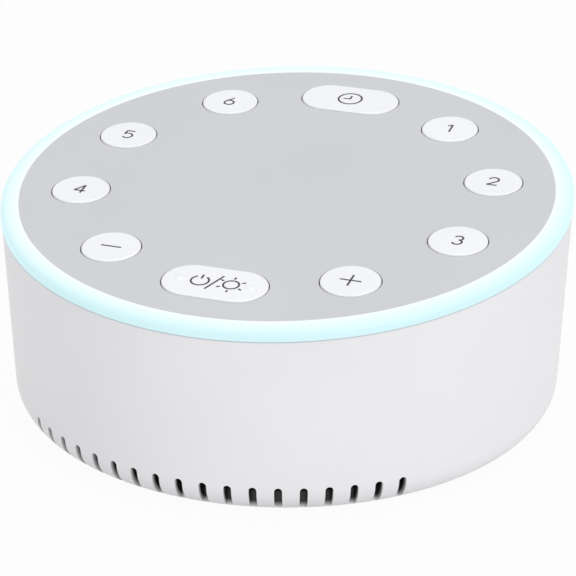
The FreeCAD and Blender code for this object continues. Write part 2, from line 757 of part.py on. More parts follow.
def make_key(label, clock, is_pill):
    body = new_body(label)
    cap = new_sketch(body, label + "_cap_plan", height="fits.flange_top")
    draw_key(cap, is_pill, "key_radius")
    pad(body, cap, label + "_cap", "fits.cap_height")
    top = mm("key_proud")
    round_edges(
        body, label + "_round", "sizes.key_round", lambda edge: edge.BoundBox.ZMin > top - 1e-4
    )
    flange = new_sketch(body, label + "_flange_plan", height="fits.flange_top")
    draw_key(flange, is_pill, "flange_radius")
    pad(body, flange, label + "_flange", "sizes.key_flange_thickness", down=True)
    stem = new_sketch(body, label + "_stem_plan", height="fits.flange_floor")
    draw_circle(stem, "key_stem_radius")
    pad(body, stem, label + "_stem", "fits.stem_height", down=True)
    if label == "power_light_key":
        add_bumps(body)
    spot = key_spot(clock)
    place_on_panel(body, spot)
    return keep(body)


def add_bumps(body):
    """Two low domes that a finger finds in the dark."""
    bumps = new_sketch(body, "bump_section", "XZ_Plane")
    bumps.AttachmentOffset = Placement(Vector(mm("bump_offset"), mm("key_proud"), 0), Rotation())
    bind(bumps, AttachmentOffset__Base__x="sizes.bump_offset", AttachmentOffset__Base__y="sizes.key_proud")
    corners = [("0", "0"), ("bump_radius", "0"), ("bump_shoulder", "bump_half_proud"), ("0", "bump_proud")]
    draw_outline(bumps, corners)
    dome = revolve(body, bumps, "bump")
    pair = body.newObject("PartDesign::PolarPattern", "bumps")
    pair.Originals = [dome]
    pair.Axis = (origin_plane(body, "Z_Axis"), [""])
    pair.Angle = 360.0
    pair.Occurrences = 2
    body.Tip = pair


def place_on_panel(obj, spot):
    """Places an object drawn at the panel's own origin at a spot of the sloping panel."""
    turn = Rotation(Vector(1, 0, 0), mm("tilt"))
    obj.Placement = Placement(Vector(0, 0, mm("panel_height")) + turn.multVec(spot), turn)
    bind(
        obj,
        Placement__Rotation__Angle="sizes.tilt",
        Placement__Base__y=f"{spot.y} * cos(sizes.tilt)",
        Placement__Base__z=f"sizes.panel_height + {spot.y} * sin(sizes.tilt)",
    )
    return obj


def make_plunger(label, clock):
    spot = key_spot(clock)
    stick = cylinder(label + "_stick", "sizes.plunger_radius", "sizes.plunger_length", Vector(0, 0, 0))
    bind(stick, Placement__Base__z="fits.plunger_floor")
    piece = group(label + "_piece", [stick])
    place_on_panel(piece, spot)
    return keep(piece, label)


# Panel: a thin disc with an opening for each key and posts under it for the board's screws.
def make_panel():
    body = new_body("top_panel")
    disc = new_sketch(body, "panel_plan")
    draw_circle(disc, "panel_radius")
    pad(body, disc, "panel_disc", "sizes.panel_thickness", down=True)
    posts = new_sketch(body, "panel_post_plan", height="fits.panel_floor")
    pilots = new_sketch(body, "panel_pilot_plan", height="fits.board_top")
    for angle in POST_ANGLES:
        draw_circle(posts, "post_radius", on_circle("post_circle", angle))
        draw_circle(pilots, "panel_screw_hole", on_circle("post_circle", angle))
    pad(body, posts, "panel_posts", "fits.post_height", down=True)
    pocket(body, pilots, "panel_pilots", "fits.pilot_depth", other_way=True)
    openings = new_sketch(body, "opening_plan")
    for clock, is_pill in KEYS.values():
        spot = key_spot(clock)
        if is_pill:
            draw_pill_at(openings, spot)
        else:
            draw_circle(openings, "opening_radius", spot)
    pocket(body, openings, "key_openings", "sizes.panel_thickness")
    return keep(lean(body))


def draw_pill_at(sketch, spot):
    """A pill opening on the key circle, at the front or the back of it."""
    half, span = mm("opening_radius"), mm("pill_run")
    up = Vector(0, 0, 1)
    quarter = math.pi / 2
    right = Part.ArcOfCircle(Part.Circle(spot + Vector(span, 0, 0), up, half), -quarter, quarter)
    left = Part.ArcOfCircle(Part.Circle(spot - Vector(span, 0, 0), up, half), quarter, 3 * quarter)
    top = Part.LineSegment(spot + Vector(span, half, 0), spot + Vector(-span, half, 0))
    bottom = Part.LineSegment(spot + Vector(-span, -half, 0), spot + Vector(span, -half, 0))
    first = len(sketch.Geometry)
    for edge in (right, top, left, bottom):
        sketch.addGeometry(edge, False)
    for step in range(4):
        sketch.addConstraint(Sketcher.Constraint("Tangent", first + step, 2, first + (step + 1) % 4, 1))
    row = "-key_circle" if spot.y < 0 else "key_circle"
    pin(sketch, "DistanceX", first, 3, "pill_run")
    pin(sketch, "DistanceX", first + 2, 3, "-pill_run")
    pin(sketch, "DistanceY", first, 3, row)
    pin(sketch, "DistanceY", first + 2, 3, row)
    index = sketch.addConstraint(Sketcher.Constraint("Radius", first, half))
    sketch.setExpression(f"Constraints[{index}]", cell("opening_radius"))


# Key board with its switches, ring lamps and light baffle, all under the panel.
def make_board():
    disc = cylinder("board_disc", "fits.board_radius", "sizes.board_thickness", lift="fits.board_floor")
    holes = []
    for step, angle in enumerate(POST_ANGLES):
        spot = on_circle("post_circle", angle)
        hole = cylinder(f"board_hole_{step}", "fits.clear_hole", "sizes.board_thickness * 3", spot)
        bind(hole, Placement__Base__z="fits.board_floor - sizes.board_thickness")
        holes.append(hole)
    keep(lean(cut("board", disc, fuse("board_holes", holes))), "key_board")

    switches = []
    for step, (clock, _) in enumerate(KEYS.values()):
        spot = key_spot(clock)
        case = block(
            f"switch_case_{step}",
            "sizes.switch_width",
            "sizes.switch_width",
            "sizes.switch_height",
            (f"{spot.x} - sizes.switch_width / 2", f"{spot.y} - sizes.switch_width / 2", "fits.board_top"),
        )
        well = cylinder(f"switch_well_{step}", "fits.plunger_hole", "fits.plunger_room", spot)
        bind(well, Placement__Base__z="fits.switch_top - fits.plunger_room")
        switches.append(cut(f"switch_{step}", case, well))
    keep(lean(group("switches", switches)), "key_switches")

    lamps = []
    for step in range(int(mm("led_count"))):
        angle = 360 / mm("led_count") * step
        spot = on_circle("led_circle", angle)
        lamp = block(
            f"lamp_{step}", "sizes.led_width", "sizes.led_width", "sizes.led_height", ("0", "0", "0"), angle
        )
        half = mm("led_width") / 2
        corner = spot + Rotation(Vector(0, 0, 1), angle).multVec(Vector(-half, -half, 0))
        bind(lamp, Placement__Base__x=f"{corner.x}", Placement__Base__y=f"{corner.y}")
        bind(lamp, Placement__Base__z="fits.board_top")
        lamps.append(lamp)
    keep(lean(group("lamps", lamps)), "ring_leds")

    outside = cylinder("baffle_outside", "fits.baffle_radius", "fits.baffle_height", lift="fits.board_top")
    inside = cylinder("baffle_inside", "fits.baffle_inner", "fits.baffle_height + 2 * sizes.overlap")
    bind(inside, Placement__Base__z="fits.board_top - sizes.overlap")
    keep(lean(cut("baffle", outside, inside)), "light_baffle")

    screws = []
    for step, angle in enumerate(POST_ANGLES):
        spot = on_circle("post_circle", angle)
        shank = shaft(f"panel_shank_{step}", "panel_screw", spot)
        head = cylinder(f"panel_head_{step}", "fits.small_head", "sizes.chassis_thickness", spot)
        bind(shank, Placement__Base__z="fits.chassis_floor")
        bind(head, Placement__Base__z="fits.chassis_floor - sizes.chassis_thickness")
        screws.append(fuse(f"panel_screw_{step}", [shank, head]))
    keep(lean(group("screws_in_panel", screws)), "panel_screws")


# Chassis: a tray under the board with four level-footed legs that stand on the housing's pillars.
def make_chassis():
    disc = cylinder("tray_disc", "fits.chassis_radius", "sizes.chassis_thickness")
    bind(disc, Placement__Base__z="fits.chassis_floor")
    tray = lean(group("tray", [disc]))
    legs = []
    hollows = []
    for step, angle in enumerate(PILLAR_ANGLES):
        spot = on_circle("pillar_circle", angle)
        leg = cylinder(f"leg_{step}", "sizes.pillar_radius", "1", spot, lift="sizes.pillar_top")
        tall = (
            f"sizes.panel_height - sizes.pillar_top + {spot.y} * fits.panel_lean"
            " + (fits.chassis_floor + sizes.chassis_thickness / 2) / cos(sizes.tilt)"
        )
        bind(leg, Height=tall)
        leg.Placement.Rotation = Rotation(Vector(0, 0, 1), angle)
        legs.append(leg)
        hollow = shaft(f"leg_pilot_{step}", "chassis_screw", spot)
        bind(hollow, Radius="fits.chassis_screw_hole")
        bind(hollow, Placement__Base__z="sizes.pillar_top - sizes.overlap")
        hollows.append(hollow)
    whole = tray
    for step, leg in enumerate(legs):
        joined = doc.addObject("Part::Fuse", f"chassis_blank_{step}")
        joined.Base = whole
        joined.Tool = leg
        whole = joined
    window = lean(cylinder("tray_window", "sizes.chassis_inner_radius", "sizes.chassis_thickness * 3"))
    sink(window, "-(fits.chassis_floor - sizes.chassis_thickness)")
    hollows.append(window)
    for step, angle in enumerate(POST_ANGLES):
        spot = on_circle("post_circle", angle)
        hole = cylinder(f"tray_hole_{step}", "fits.clear_hole", "sizes.chassis_thickness * 3", spot)
        bind(hole, Placement__Base__z="fits.chassis_floor - sizes.chassis_thickness")
        hollows.append(lean(group(f"tray_hole_{step}_leaning", [hole])))
    keep(cut("chassis", whole, fuse("chassis_hollows", hollows)), "top_chassis")

    screws = []
    for step, angle in enumerate(PILLAR_ANGLES):
        spot = on_circle("pillar_circle", angle)
        shank = shaft(f"long_shank_{step}", "chassis_screw", spot)
        bind(shank, Placement__Base__z="fits.well_top")
        head = cylinder(f"long_head_{step}", "fits.long_head", "sizes.chassis_screw_radius", spot)
        bind(head, Placement__Base__z="fits.chassis_screw_head")
        screws.append(fuse(f"long_screw_{step}", [shank, head]))
    keep(group("screws_in_chassis", screws), "chassis_screws")


# Speaker, facing down over the deflector: each piece is turned about the vertical axis.
def turned(label, corners):
    body = new_body(label)
    section = new_sketch(body, label + "_section", "XZ_Plane")
    draw_outline(section, corners)
    revolve(body, section, label + "_turned")
    return body


def make_speaker():
    basket = turned(
        "speaker_basket",
        [
            ("surround_outer", "speaker_height"),
            ("speaker_radius", "speaker_height"),
            ("speaker_radius", "flange_crest"),
            ("basket_shoulder", "flange_crest"),
            ("basket_back_radius", "basket_top"),
            ("coil_clear", "basket_top"),
            ("coil_clear", "basket_inner_top"),
            ("basket_inner_back", "basket_inner_top"),
            ("surround_outer", "surround_high"),
        ],
    )
    holes = new_sketch(basket, "flange_hole_plan", height="sizes.speaker_height")
    for angle in FOOT_ANGLES:
        draw_circle(holes, "panel_screw_hole", on_circle("speaker_post_circle", angle))
    pocket(basket, holes, "flange_holes", "sizes.speaker_flange_thickness", other_way=True)
    keep(basket)
    keep(
        turned(
            "speaker_surround",
            [
                ("cone_radius", "surround_low"),
                ("surround_crest", "surround_bottom"),
                ("surround_outer", "surround_low"),
                ("surround_outer", "surround_high"),
                ("surround_crest", "surround_middle"),
                ("cone_radius", "surround_high"),
            ],
        )
    )
    keep(
        turned(
            "speaker_cone",
            [
                ("cone_radius", "surround_low"),
                ("cone_radius", "surround_high"),
                ("cone_throat_radius", "cone_top"),
                ("cone_throat_radius", "cone_under"),
            ],
        )
    )
    keep(
        turned(
            "speaker_dust_cap",
            [("0", "cap_low"), ("cap_mid_radius", "cap_mid"), ("cone_throat_radius", "cone_under"),
             ("cone_throat_radius", "cone_top"), ("0", "cap_high")],
        )
    )
    keep(
        turned(
            "speaker_voice_coil",
            [("coil_inner", "cone_top"), ("coil_radius", "cone_top"), ("coil_radius", "coil_high"),
             ("coil_inner", "coil_high")],
        )
    )
    keep(
        turned(
            "speaker_magnet",
            [("magnet_bore", "plate_top"), ("magnet_radius", "plate_top"), ("magnet_radius", "magnet_top"),
             ("magnet_bore", "magnet_top")],
        )
    )
    keep(
        turned(
            "speaker_top_plate",
            [("plate_bore", "basket_top"), ("magnet_radius", "basket_top"), ("magnet_radius", "plate_top"),
             ("plate_bore", "plate_top")],
        )
    )
    keep(
        turned(
            "speaker_pole_piece",
            [("0", "basket_top"), ("pole_radius", "basket_top"), ("pole_radius", "magnet_top"),
             ("magnet_radius", "magnet_top"), ("magnet_radius", "yoke_top"), ("0", "yoke_top")],
        )
    )
    screws = []
    for step, angle in enumerate(FOOT_ANGLES):
        spot = on_circle("speaker_post_circle", angle)
        shank = shaft(f"speaker_shank_{step}", "base_screw", spot)
        bind(shank, Radius="sizes.panel_screw_radius")
        head = cylinder(f"speaker_head_{step}", "fits.speaker_head", "sizes.panel_screw_radius", spot)
        bind(shank, Placement__Base__z="fits.flange_crest - sizes.base_screw_length")
        bind(head, Placement__Base__z="fits.flange_crest")
        screws.append(fuse(f"speaker_screw_{step}", [shank, head]))
    keep(group("screws_in_speaker", screws), "speaker_screws")


# Main board at the back of the floor, with its chips and the power socket. Each chip has a length, a width,
# a height, and its front left corner: how far right, and how far in from the board's back edge.
CHIPS = (
    ("sound_chip", 7.0, 7.0, 1.2, -4.0, 17.0),
    ("amplifier_chip", 5.0, 4.0, 1.5, 8.0, 11.0),
    ("flash_chip", 5.0, 4.0, 1.6, -13.0, 11.0),
)
CAPACITOR_RIGHT = 12.5
CAPACITOR_IN = 4.0


def set_at_back(sketch, depth):
    """Puts a sketch at the height of the power port, upright at a depth."""
    bind(sketch, AttachmentOffset__Base__y="fits.port_height", AttachmentOffset__Base__z=depth)


def make_main_board():
    slab = block(
        "main_slab",
        "sizes.main_board_length",
        "sizes.main_board_width",
        "sizes.board_thickness",
        (
            "-sizes.main_board_length / 2",
            "fits.main_board_back - sizes.main_board_width",
            "sizes.main_board_height",
        ),
    )
    holes = []
    screws = []
    for step, spot in enumerate(board_screw_spots()):
        hole = cylinder(f"main_hole_{step}", "fits.clear_hole", "sizes.board_thickness * 3", spot)
        bind(hole, Placement__Base__z="sizes.main_board_height - sizes.board_thickness")
        holes.append(hole)
        shank = cylinder(f"main_shank_{step}", "sizes.panel_screw_radius", "fits.main_screw_length", spot)
        head = cylinder(f"main_head_{step}", "fits.small_head", "sizes.panel_screw_radius", spot)
        bind(shank, Placement__Base__z="fits.main_board_top - fits.main_screw_length")
        bind(head, Placement__Base__z="fits.main_board_top")
        screws.append(fuse(f"main_screw_{step}", [shank, head]))
    keep(cut("main_plate", slab, fuse("main_holes", holes)), "main_board")
    keep(group("screws_in_main_board", screws), "main_board_screws")
    chips = []
    for name, length, width, height, x, inset in CHIPS:
        spot = (str(x), f"fits.main_board_back - {inset}", "fits.main_board_top")
        chip = block(name, str(length), str(width), str(height), spot)
        chips.append(chip)
    can = cylinder("capacitor", "sizes.post_radius", "sizes.base_boss_height", lift="fits.main_board_top")
    bind(can, Placement__Base__x=str(CAPACITOR_RIGHT), Placement__Base__y=f"fits.main_board_back - {CAPACITOR_IN}")
    chips.append(can)
    keep(group("chips", chips), "main_board_chips")

    body = new_body("power_socket")
    shell = new_sketch(body, "socket_shell", "XZ_Plane")
    set_at_back(shell, "-fits.socket_back")
    draw_pill(shell, "socket_run", "socket_outer")
    pad(body, shell, "shell", "sizes.socket_depth")
    mouth = new_sketch(body, "socket_mouth", "XZ_Plane")
    set_at_back(mouth, "-fits.socket_back")
    draw_pill(mouth, "socket_run", "socket_inner")
    pocket(body, mouth, "mouth", "sizes.socket_depth - sizes.socket_back_wall", other_way=True)
    tongue = new_sketch(body, "socket_tongue", "XZ_Plane")
    set_at_back(tongue, "-fits.socket_back + sizes.tongue_inset")
    draw_outline(
        tongue,
        [("-tongue_half", "-tongue_rise"), ("tongue_half", "-tongue_rise"),
         ("tongue_half", "tongue_rise"), ("-tongue_half", "tongue_rise")],
    )
    pad(body, tongue, "tongue", "sizes.socket_depth - 2 * sizes.tongue_inset")
    keep(body)


def main():
    make_housing()
    make_base()
    make_ring()
    make_panel()
    for label, (clock, is_pill) in KEYS.items():
        make_key(label, clock, is_pill)
        make_plunger(label.replace("_key", "_plunger"), clock)
    make_board()
    make_chassis()
    make_speaker()
    make_main_board()
    doc.recompute()


def check_and_write():
    faults = [f"{obj.Name}: {obj.State}" for obj in doc.Objects if {"Invalid", "Error"} & set(obj.State)]
    for obj in nodes:
        if obj.Shape.isNull() or not obj.Shape.isValid() or not obj.Shape.Solids:
            faults.append(f"{obj.Label}: no valid solid")
    if faults:
        raise RuntimeError("; ".join(faults))
    os.makedirs("parts", exist_ok=True)
    for obj in nodes:
        obj.Shape.exportStep(f"parts/{obj.Label}.step")
        print(f"{obj.Label:24s} {len(obj.Shape.Solids):3d} solids {obj.Shape.Volume:10.1f} mm3")


main()
check_and_write()
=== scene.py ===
"""White noise sound machine: finishes, screws, key legends, studio and camera around the CAD
frame."""

import json
import math

import bmesh
import bpy
from mathutils import Matrix, Vector


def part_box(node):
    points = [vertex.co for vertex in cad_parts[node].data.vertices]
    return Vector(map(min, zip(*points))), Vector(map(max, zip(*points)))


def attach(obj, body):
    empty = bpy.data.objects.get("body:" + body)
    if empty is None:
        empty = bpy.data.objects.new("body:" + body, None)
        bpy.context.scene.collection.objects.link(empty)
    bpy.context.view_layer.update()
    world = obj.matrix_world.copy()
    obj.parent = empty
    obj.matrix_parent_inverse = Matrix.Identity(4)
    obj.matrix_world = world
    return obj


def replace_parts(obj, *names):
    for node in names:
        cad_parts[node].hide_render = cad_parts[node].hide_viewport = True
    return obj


MM = 0.001

# The camera, worked out from the edge of the panel, the ring, the wall and the keys.
CAMERA_SPOT_MM = (175.44, -504.30, 268.85)
CAMERA_TARGET_MM = (0.26, 0.09, 24.41)
CAMERA_LENS = 172.55
SENSOR_WIDTH = 36.0

# The housing's outer skin: the middle of its rounded foot (out from the axis, up from the floor),
# the foot's radius, and how fast the wall above it widens.
FOOT_CENTRE = (51.56 * MM, 7.3 * MM)
FOOT_ROUND = 6.5 * MM
WALL_SLOPE = math.tan(math.radians(2.46))
# Painted shade: the housing darkens with depth under its outer skin, so its inside and the
# walls of its slots read dark. It starts at the first depth and is fully black at the second.
SHADE_SHALLOW = 0.2 * MM
SHADE_DEEP = 1.2 * MM
PAINTED_SHADE_BLACK = "141415"

# The ring glows down to this depth under the panel's face; its hidden skirt stays dark.
GLOW_DEPTH = 2.45 * MM
# Its glow from the panel's edge to the wall, as (share of the way, colour): painted by radius,
# it also holds painted shading, lighter beside the panel and darker cyan at the wall.
GLOW = [(0.0, "B8BAB6"), (0.35, "AAB9B6"), (0.72, "98B5B5"), (1.0, "86B2B5")]

# Pigment drifts over this distance in a moulding.
PIGMENT_DRIFT = 28 * MM
# Width of a printed circuit's tracks, drawn coarse enough to show.
TRACK_WIDTH = 0.9 * MM
SOLDER_MASK = "0F5A34"
MASK_OVER_TRACK = "157A48"

# Printed legends, in millimetres across and up the face of a key.
INK_WIDTH = 0.42
INK_HEIGHT = 0.05
POWER_CENTRE = (-3.12, 0.0)
POWER_RADIUS = 1.82
# Where the power ring is open, in degrees from the top, and its stroke as shares of the radius.
POWER_OPENING = 32
POWER_STROKE = (0.45, 1.32)
SLASH = [(-1.15, -2.9), (0.95, 2.9)]
SUN_CENTRE = (3.42, 0.0)
SUN_RADIUS = 1.6
SUN_RAY_IN = 2.2
SUN_RAY_LENGTH = 0.8
SUN_RAYS = 6
CLOCK_RADIUS = 2.6
CLOCK_HANDS = [[(-1.5, -0.1), (-0.16, -0.1)], [(0, -0.28), (0, 1.45)]]
PLUS_ARM = 2.2
ARC_STEPS = 28

# Screws: sides of the round blank, and the thread's pitch, with its root as a share.
SCREW_SIDES = 24
THREAD_PITCH = 0.6 * MM
THREAD_ROOT = 0.78
TIP_SHARE = 0.5
# The head, in shares of its radius and height: rings across its face, how far the face domes, the
# height of its rim, and the length, half width and depth of the cross recess.
FACE_RINGS = (0.1, 0.2, 0.3, 0.42, 0.54, 0.62, 0.68, 0.84, 0.95)
FACE_DOME = 0.22
HEAD_RIM = 0.4
RECESS_REACH = 0.63
RECESS_HALF_WIDTH = 0.17
RECESS_DEPTH = 0.45
# Each screw is turned on by this much from the one before, in radians.
SCREW_TURN = 0.7
# Points of a mesh nearer than this are one.
WELD = 0.001 * MM

# Studio: half the floor's side and its level, a hair under the feet.
FLOOR_REACH = 3.0
FLOOR_LEVEL = -0.02 * MM
FLOOR_SEEN = "FFFFFF"
FLOOR_LIT = "DDDDDD"
FLOOR_SHADOW = 0.05
SKY_TINT = "FDFDFF"
SKY_LEVEL = 0.69
LAMP_AIM = (0, 0, 0.03)
# Soft boxes: name, spot and side in metres, watts, tint.
LAMPS = [
    ("key_soft_box", (1.1, -0.8, 0.75), 0.9, 6.5, (0.97, 0.98, 1.0)),
    ("fill_soft_box", (-0.6, -1.1, 0.6), 0.9, 1.3, (1.0, 0.99, 0.98)),
    ("top_soft_box", (0.0, 0.3, 1.3), 1.0, 3.5, (1.0, 1.0, 1.0)),
]


def sheet_colour(code):
    """A hex sRGB colour as the linear RGBA that sockets take."""
    parts = [int(code[i : i + 2], 16) / 255 for i in (0, 2, 4)]
    lin = [c / 12.92 if c <= 0.04045 else ((c + 0.055) / 1.055) ** 2.4 for c in parts]
    return (*lin, 1.0)


def add(tree, kind, links=None, **settings):
    """Adds a node. Links go by socket name or number: a socket is linked, a value is set."""
    node = tree.nodes.new(kind)
    for name, value in settings.items():
        setattr(node, name, value)
    for name, value in (links or {}).items():
        if isinstance(value, bpy.types.NodeSocket):
            tree.links.new(value, node.inputs[name])
        else:
            node.inputs[name].default_value = value
    return node


def new_material(name):
    """An empty node material and its tree."""
    material = bpy.data.materials.new(name)
    material.use_nodes = True
    material.node_tree.nodes.clear()
    return material, material.node_tree


def ramp(tree, fac, stops):
    """A colour ramp over fac with (position, hex) stops."""
    node = add(tree, "ShaderNodeValToRGB", {"Fac": fac})
    line = node.color_ramp.elements
    while len(line) < len(stops):
        line.new(0.5)
    for element, (place, code) in zip(line, stops):
        element.position = place
        element.color = sheet_colour(code)
    return node.outputs["Color"]


def moulded(name, code, worn, grain_mm, depth_mm, rough, spread=0.06, ior=1.53):
    """Injection-moulded plastic: a spark-eroded grain in the tool gives bump and uneven gloss,
    and slow drift in the pigment gives two near shades."""
    material, tree = new_material(name)
    place = add(tree, "ShaderNodeTexCoord").outputs["Object"]
    grain = add(tree, "ShaderNodeTexNoise", {"Vector": place, "Scale": 1 / (grain_mm * MM)})
    grain.inputs["Detail"].default_value = 3.0
    drift = add(tree, "ShaderNodeTexNoise", {"Vector": place, "Scale": 1 / PIGMENT_DRIFT})
    drift.inputs["Detail"].default_value = 1.0
    colour = ramp(tree, drift.outputs["Fac"], [(0.35, worn), (0.62, code)])
    gloss = add(
        tree,
        "ShaderNodeMapRange",
        {"Value": grain.outputs["Fac"], 3: rough - spread, 4: rough + spread},
    )
    bump = add(
        tree,
        "ShaderNodeBump",
        {"Height": grain.outputs["Fac"], "Distance": depth_mm * MM, "Strength": 1.0},
    )
    shader = add(
        tree,
        "ShaderNodeBsdfPrincipled",
        {
            "Base Color": colour,
            "Roughness": gloss.outputs["Result"],
            "Normal": bump.outputs["Normal"],
            "IOR": ior,
        },
    )
    add(tree, "ShaderNodeOutputMaterial", {"Surface": shader.outputs["BSDF"]})
    return material


def paint_shade_inside(material):
    """Paints shade on the housing by depth under its outer skin: its inside is painted black, and
    the walls of its slots darken from their outer edge inward."""
    tree = material.node_tree
    shader = next(n for n in tree.nodes if n.type == "BSDF_PRINCIPLED")
    white = shader.inputs["Base Color"].links[0].from_socket
    place = add(tree, "ShaderNodeTexCoord").outputs["Object"]
    flat = add(tree, "ShaderNodeVectorMath", {0: place, 1: (1, 1, 0)}, operation="MULTIPLY")
    radius = add(tree, "ShaderNodeVectorMath", {0: flat.outputs[0]}, operation="LENGTH")
    height = add(tree, "ShaderNodeSeparateXYZ", {0: place}).outputs["Z"]
    rise = add(tree, "ShaderNodeMath", {0: height, 1: FOOT_CENTRE[1]}, operation="SUBTRACT")
    above = add(tree, "ShaderNodeMath", {0: rise.outputs[0], 1: 0.0}, operation="MAXIMUM")
    below = add(tree, "ShaderNodeMath", {0: rise.outputs[0], 1: 0.0}, operation="MINIMUM")
    lean = add(tree, "ShaderNodeMath", {0: above.outputs[0], 1: -WALL_SLOPE}, operation="MULTIPLY")
    out_from = add(tree, "ShaderNodeMath", {0: radius.outputs["Value"], 1: FOOT_CENTRE[0]})
    out_from.operation = "SUBTRACT"
    across = add(tree, "ShaderNodeMath", {0: out_from.outputs[0], 1: lean.outputs[0]})
    reach = add(tree, "ShaderNodeCombineXYZ", {"X": across.outputs[0], "Y": below.outputs[0]})
    far = add(tree, "ShaderNodeVectorMath", {0: reach.outputs[0]}, operation="LENGTH")
    # Share of painted shade by depth: none near the skin, full deep inside.
    coat = add(
        tree,
        "ShaderNodeMapRange",
        {
            "Value": far.outputs["Value"],
            1: FOOT_ROUND - SHADE_DEEP,
            2: FOOT_ROUND - SHADE_SHALLOW,
        },
    )
    mix = add(
        tree,
        "ShaderNodeMix",
        {0: coat.outputs["Result"], 6: sheet_colour(PAINTED_SHADE_BLACK), 7: white},
        data_type="RGBA",
    )
    tree.links.new(mix.outputs[2], shader.inputs["Base Color"])


def metal(name, bright, dull, scratch_mm, rough):
    """Plated or turned metal: fine scratches roughen it and darken it a little."""
    material, tree = new_material(name)
    place = add(tree, "ShaderNodeTexCoord").outputs["Object"]
    lines = add(tree, "ShaderNodeTexNoise", {"Vector": place, "Scale": 1 / (scratch_mm * MM)})
    lines.inputs["Detail"].default_value = 4.0
    colour = ramp(tree, lines.outputs["Fac"], [(0.35, dull), (0.65, bright)])
    gloss = add(
        tree,
        "ShaderNodeMapRange",
        {"Value": lines.outputs["Fac"], 3: rough + 0.1, 4: rough - 0.06},
    )
    bump = add(
        tree,
        "ShaderNodeBump",
        {"Height": lines.outputs["Fac"], "Distance": 0.004 * MM, "Strength": 1.0},
    )
    shader = add(
        tree,
        "ShaderNodeBsdfPrincipled",
        {
            "Base Color": colour,
            "Metallic": 1.0,
            "Roughness": gloss.outputs["Result"],
            "Normal": bump.outputs["Normal"],
        },
    )
    add(tree, "ShaderNodeOutputMaterial", {"Surface": shader.outputs["BSDF"]})
    return material


def opal_acrylic(inner, outer, up, level):
    """Opal acrylic, frosted: it glows with the light of the lamps under it, set as emission. The
    glow is painted by radius, near white beside the panel and cyan at the outer edge: painted
    shading across the ring's rounded edge."""
    material, tree = new_material("opal_acrylic_frosted")
    place = add(tree, "ShaderNodeTexCoord").outputs["Object"]
    flat = add(tree, "ShaderNodeVectorMath", {0: place, 1: (1, 1, 0)}, operation="MULTIPLY")
    radius = add(tree, "ShaderNodeVectorMath", {0: flat.outputs[0]}, operation="LENGTH")
    across = add(
        tree, "ShaderNodeMapRange", {"Value": radius.outputs["Value"], 1: inner, 2: outer}
    )
    frost = add(tree, "ShaderNodeTexNoise", {"Vector": place, "Scale": 1 / (0.4 * MM)})
    # Glow colour by radius, holding painted shading: lighter beside the panel, darker cyan at the
    # wall.
    glow = ramp(tree, across.outputs["Result"], GLOW)
    depth = add(tree, "ShaderNodeVectorMath", {0: place, 1: up}, operation="DOT_PRODUCT")
    lit = add(
        tree,
        "ShaderNodeMapRange",
        {"Value": depth.outputs["Value"], 1: level - GLOW_DEPTH, 2: level - 0.9 * GLOW_DEPTH},
    )
    glow_with_painted_shade = add(
        tree,
        "ShaderNodeMix",
        {0: lit.outputs["Result"], 6: (0, 0, 0, 1), 7: glow},
        data_type="RGBA",
    )
    gloss = add(tree, "ShaderNodeMapRange", {"Value": frost.outputs["Fac"], 3: 0.3, 4: 0.45})
    bump = add(
        tree,
        "ShaderNodeBump",
        {"Height": frost.outputs["Fac"], "Distance": 0.01 * MM, "Strength": 1.0},
    )
    shader = add(
        tree,
        "ShaderNodeBsdfPrincipled",
        {
            "Base Color": sheet_colour("B4BEC2"),
            "Roughness": gloss.outputs["Result"],
            "Normal": bump.outputs["Normal"],
            "IOR": 1.49,
            "Emission Color": glow_with_painted_shade.outputs[2],
            "Emission Strength": 1.0,
        },
    )
    add(tree, "ShaderNodeOutputMaterial", {"Surface": shader.outputs["BSDF"]})
    return material


def printed_circuit():
    """Glass-epoxy board under green solder mask: buried tracks show as faint squares and lines."""
    material, tree = new_material("solder_masked_glass_epoxy")
    place = add(tree, "ShaderNodeTexCoord").outputs["Object"]
    cells = add(tree, "ShaderNodeTexVoronoi", {"Vector": place, "Scale": 0.25 / TRACK_WIDTH})
    cells.distance = "CHEBYCHEV"
    colour = ramp(
        tree,
        cells.outputs["Distance"],
        [(0.0, SOLDER_MASK), (0.42, SOLDER_MASK), (0.46, MASK_OVER_TRACK), (0.5, SOLDER_MASK)],
    )
    bump = add(
        tree,
        "ShaderNodeBump",
        {"Height": cells.outputs["Distance"], "Distance": 0.02 * MM, "Strength": 0.6},
    )
    gloss = add(
        tree, "ShaderNodeMapRange", {"Value": cells.outputs["Distance"], 3: 0.28, 4: 0.4}
    )
    shader = add(
        tree,
        "ShaderNodeBsdfPrincipled",
        {
            "Base Color": colour,
            "Roughness": gloss.outputs["Result"],
            "Normal": bump.outputs["Normal"],
            "IOR": 1.55,
        },
    )
    add(tree, "ShaderNodeOutputMaterial", {"Surface": shader.outputs["BSDF"]})
    return material


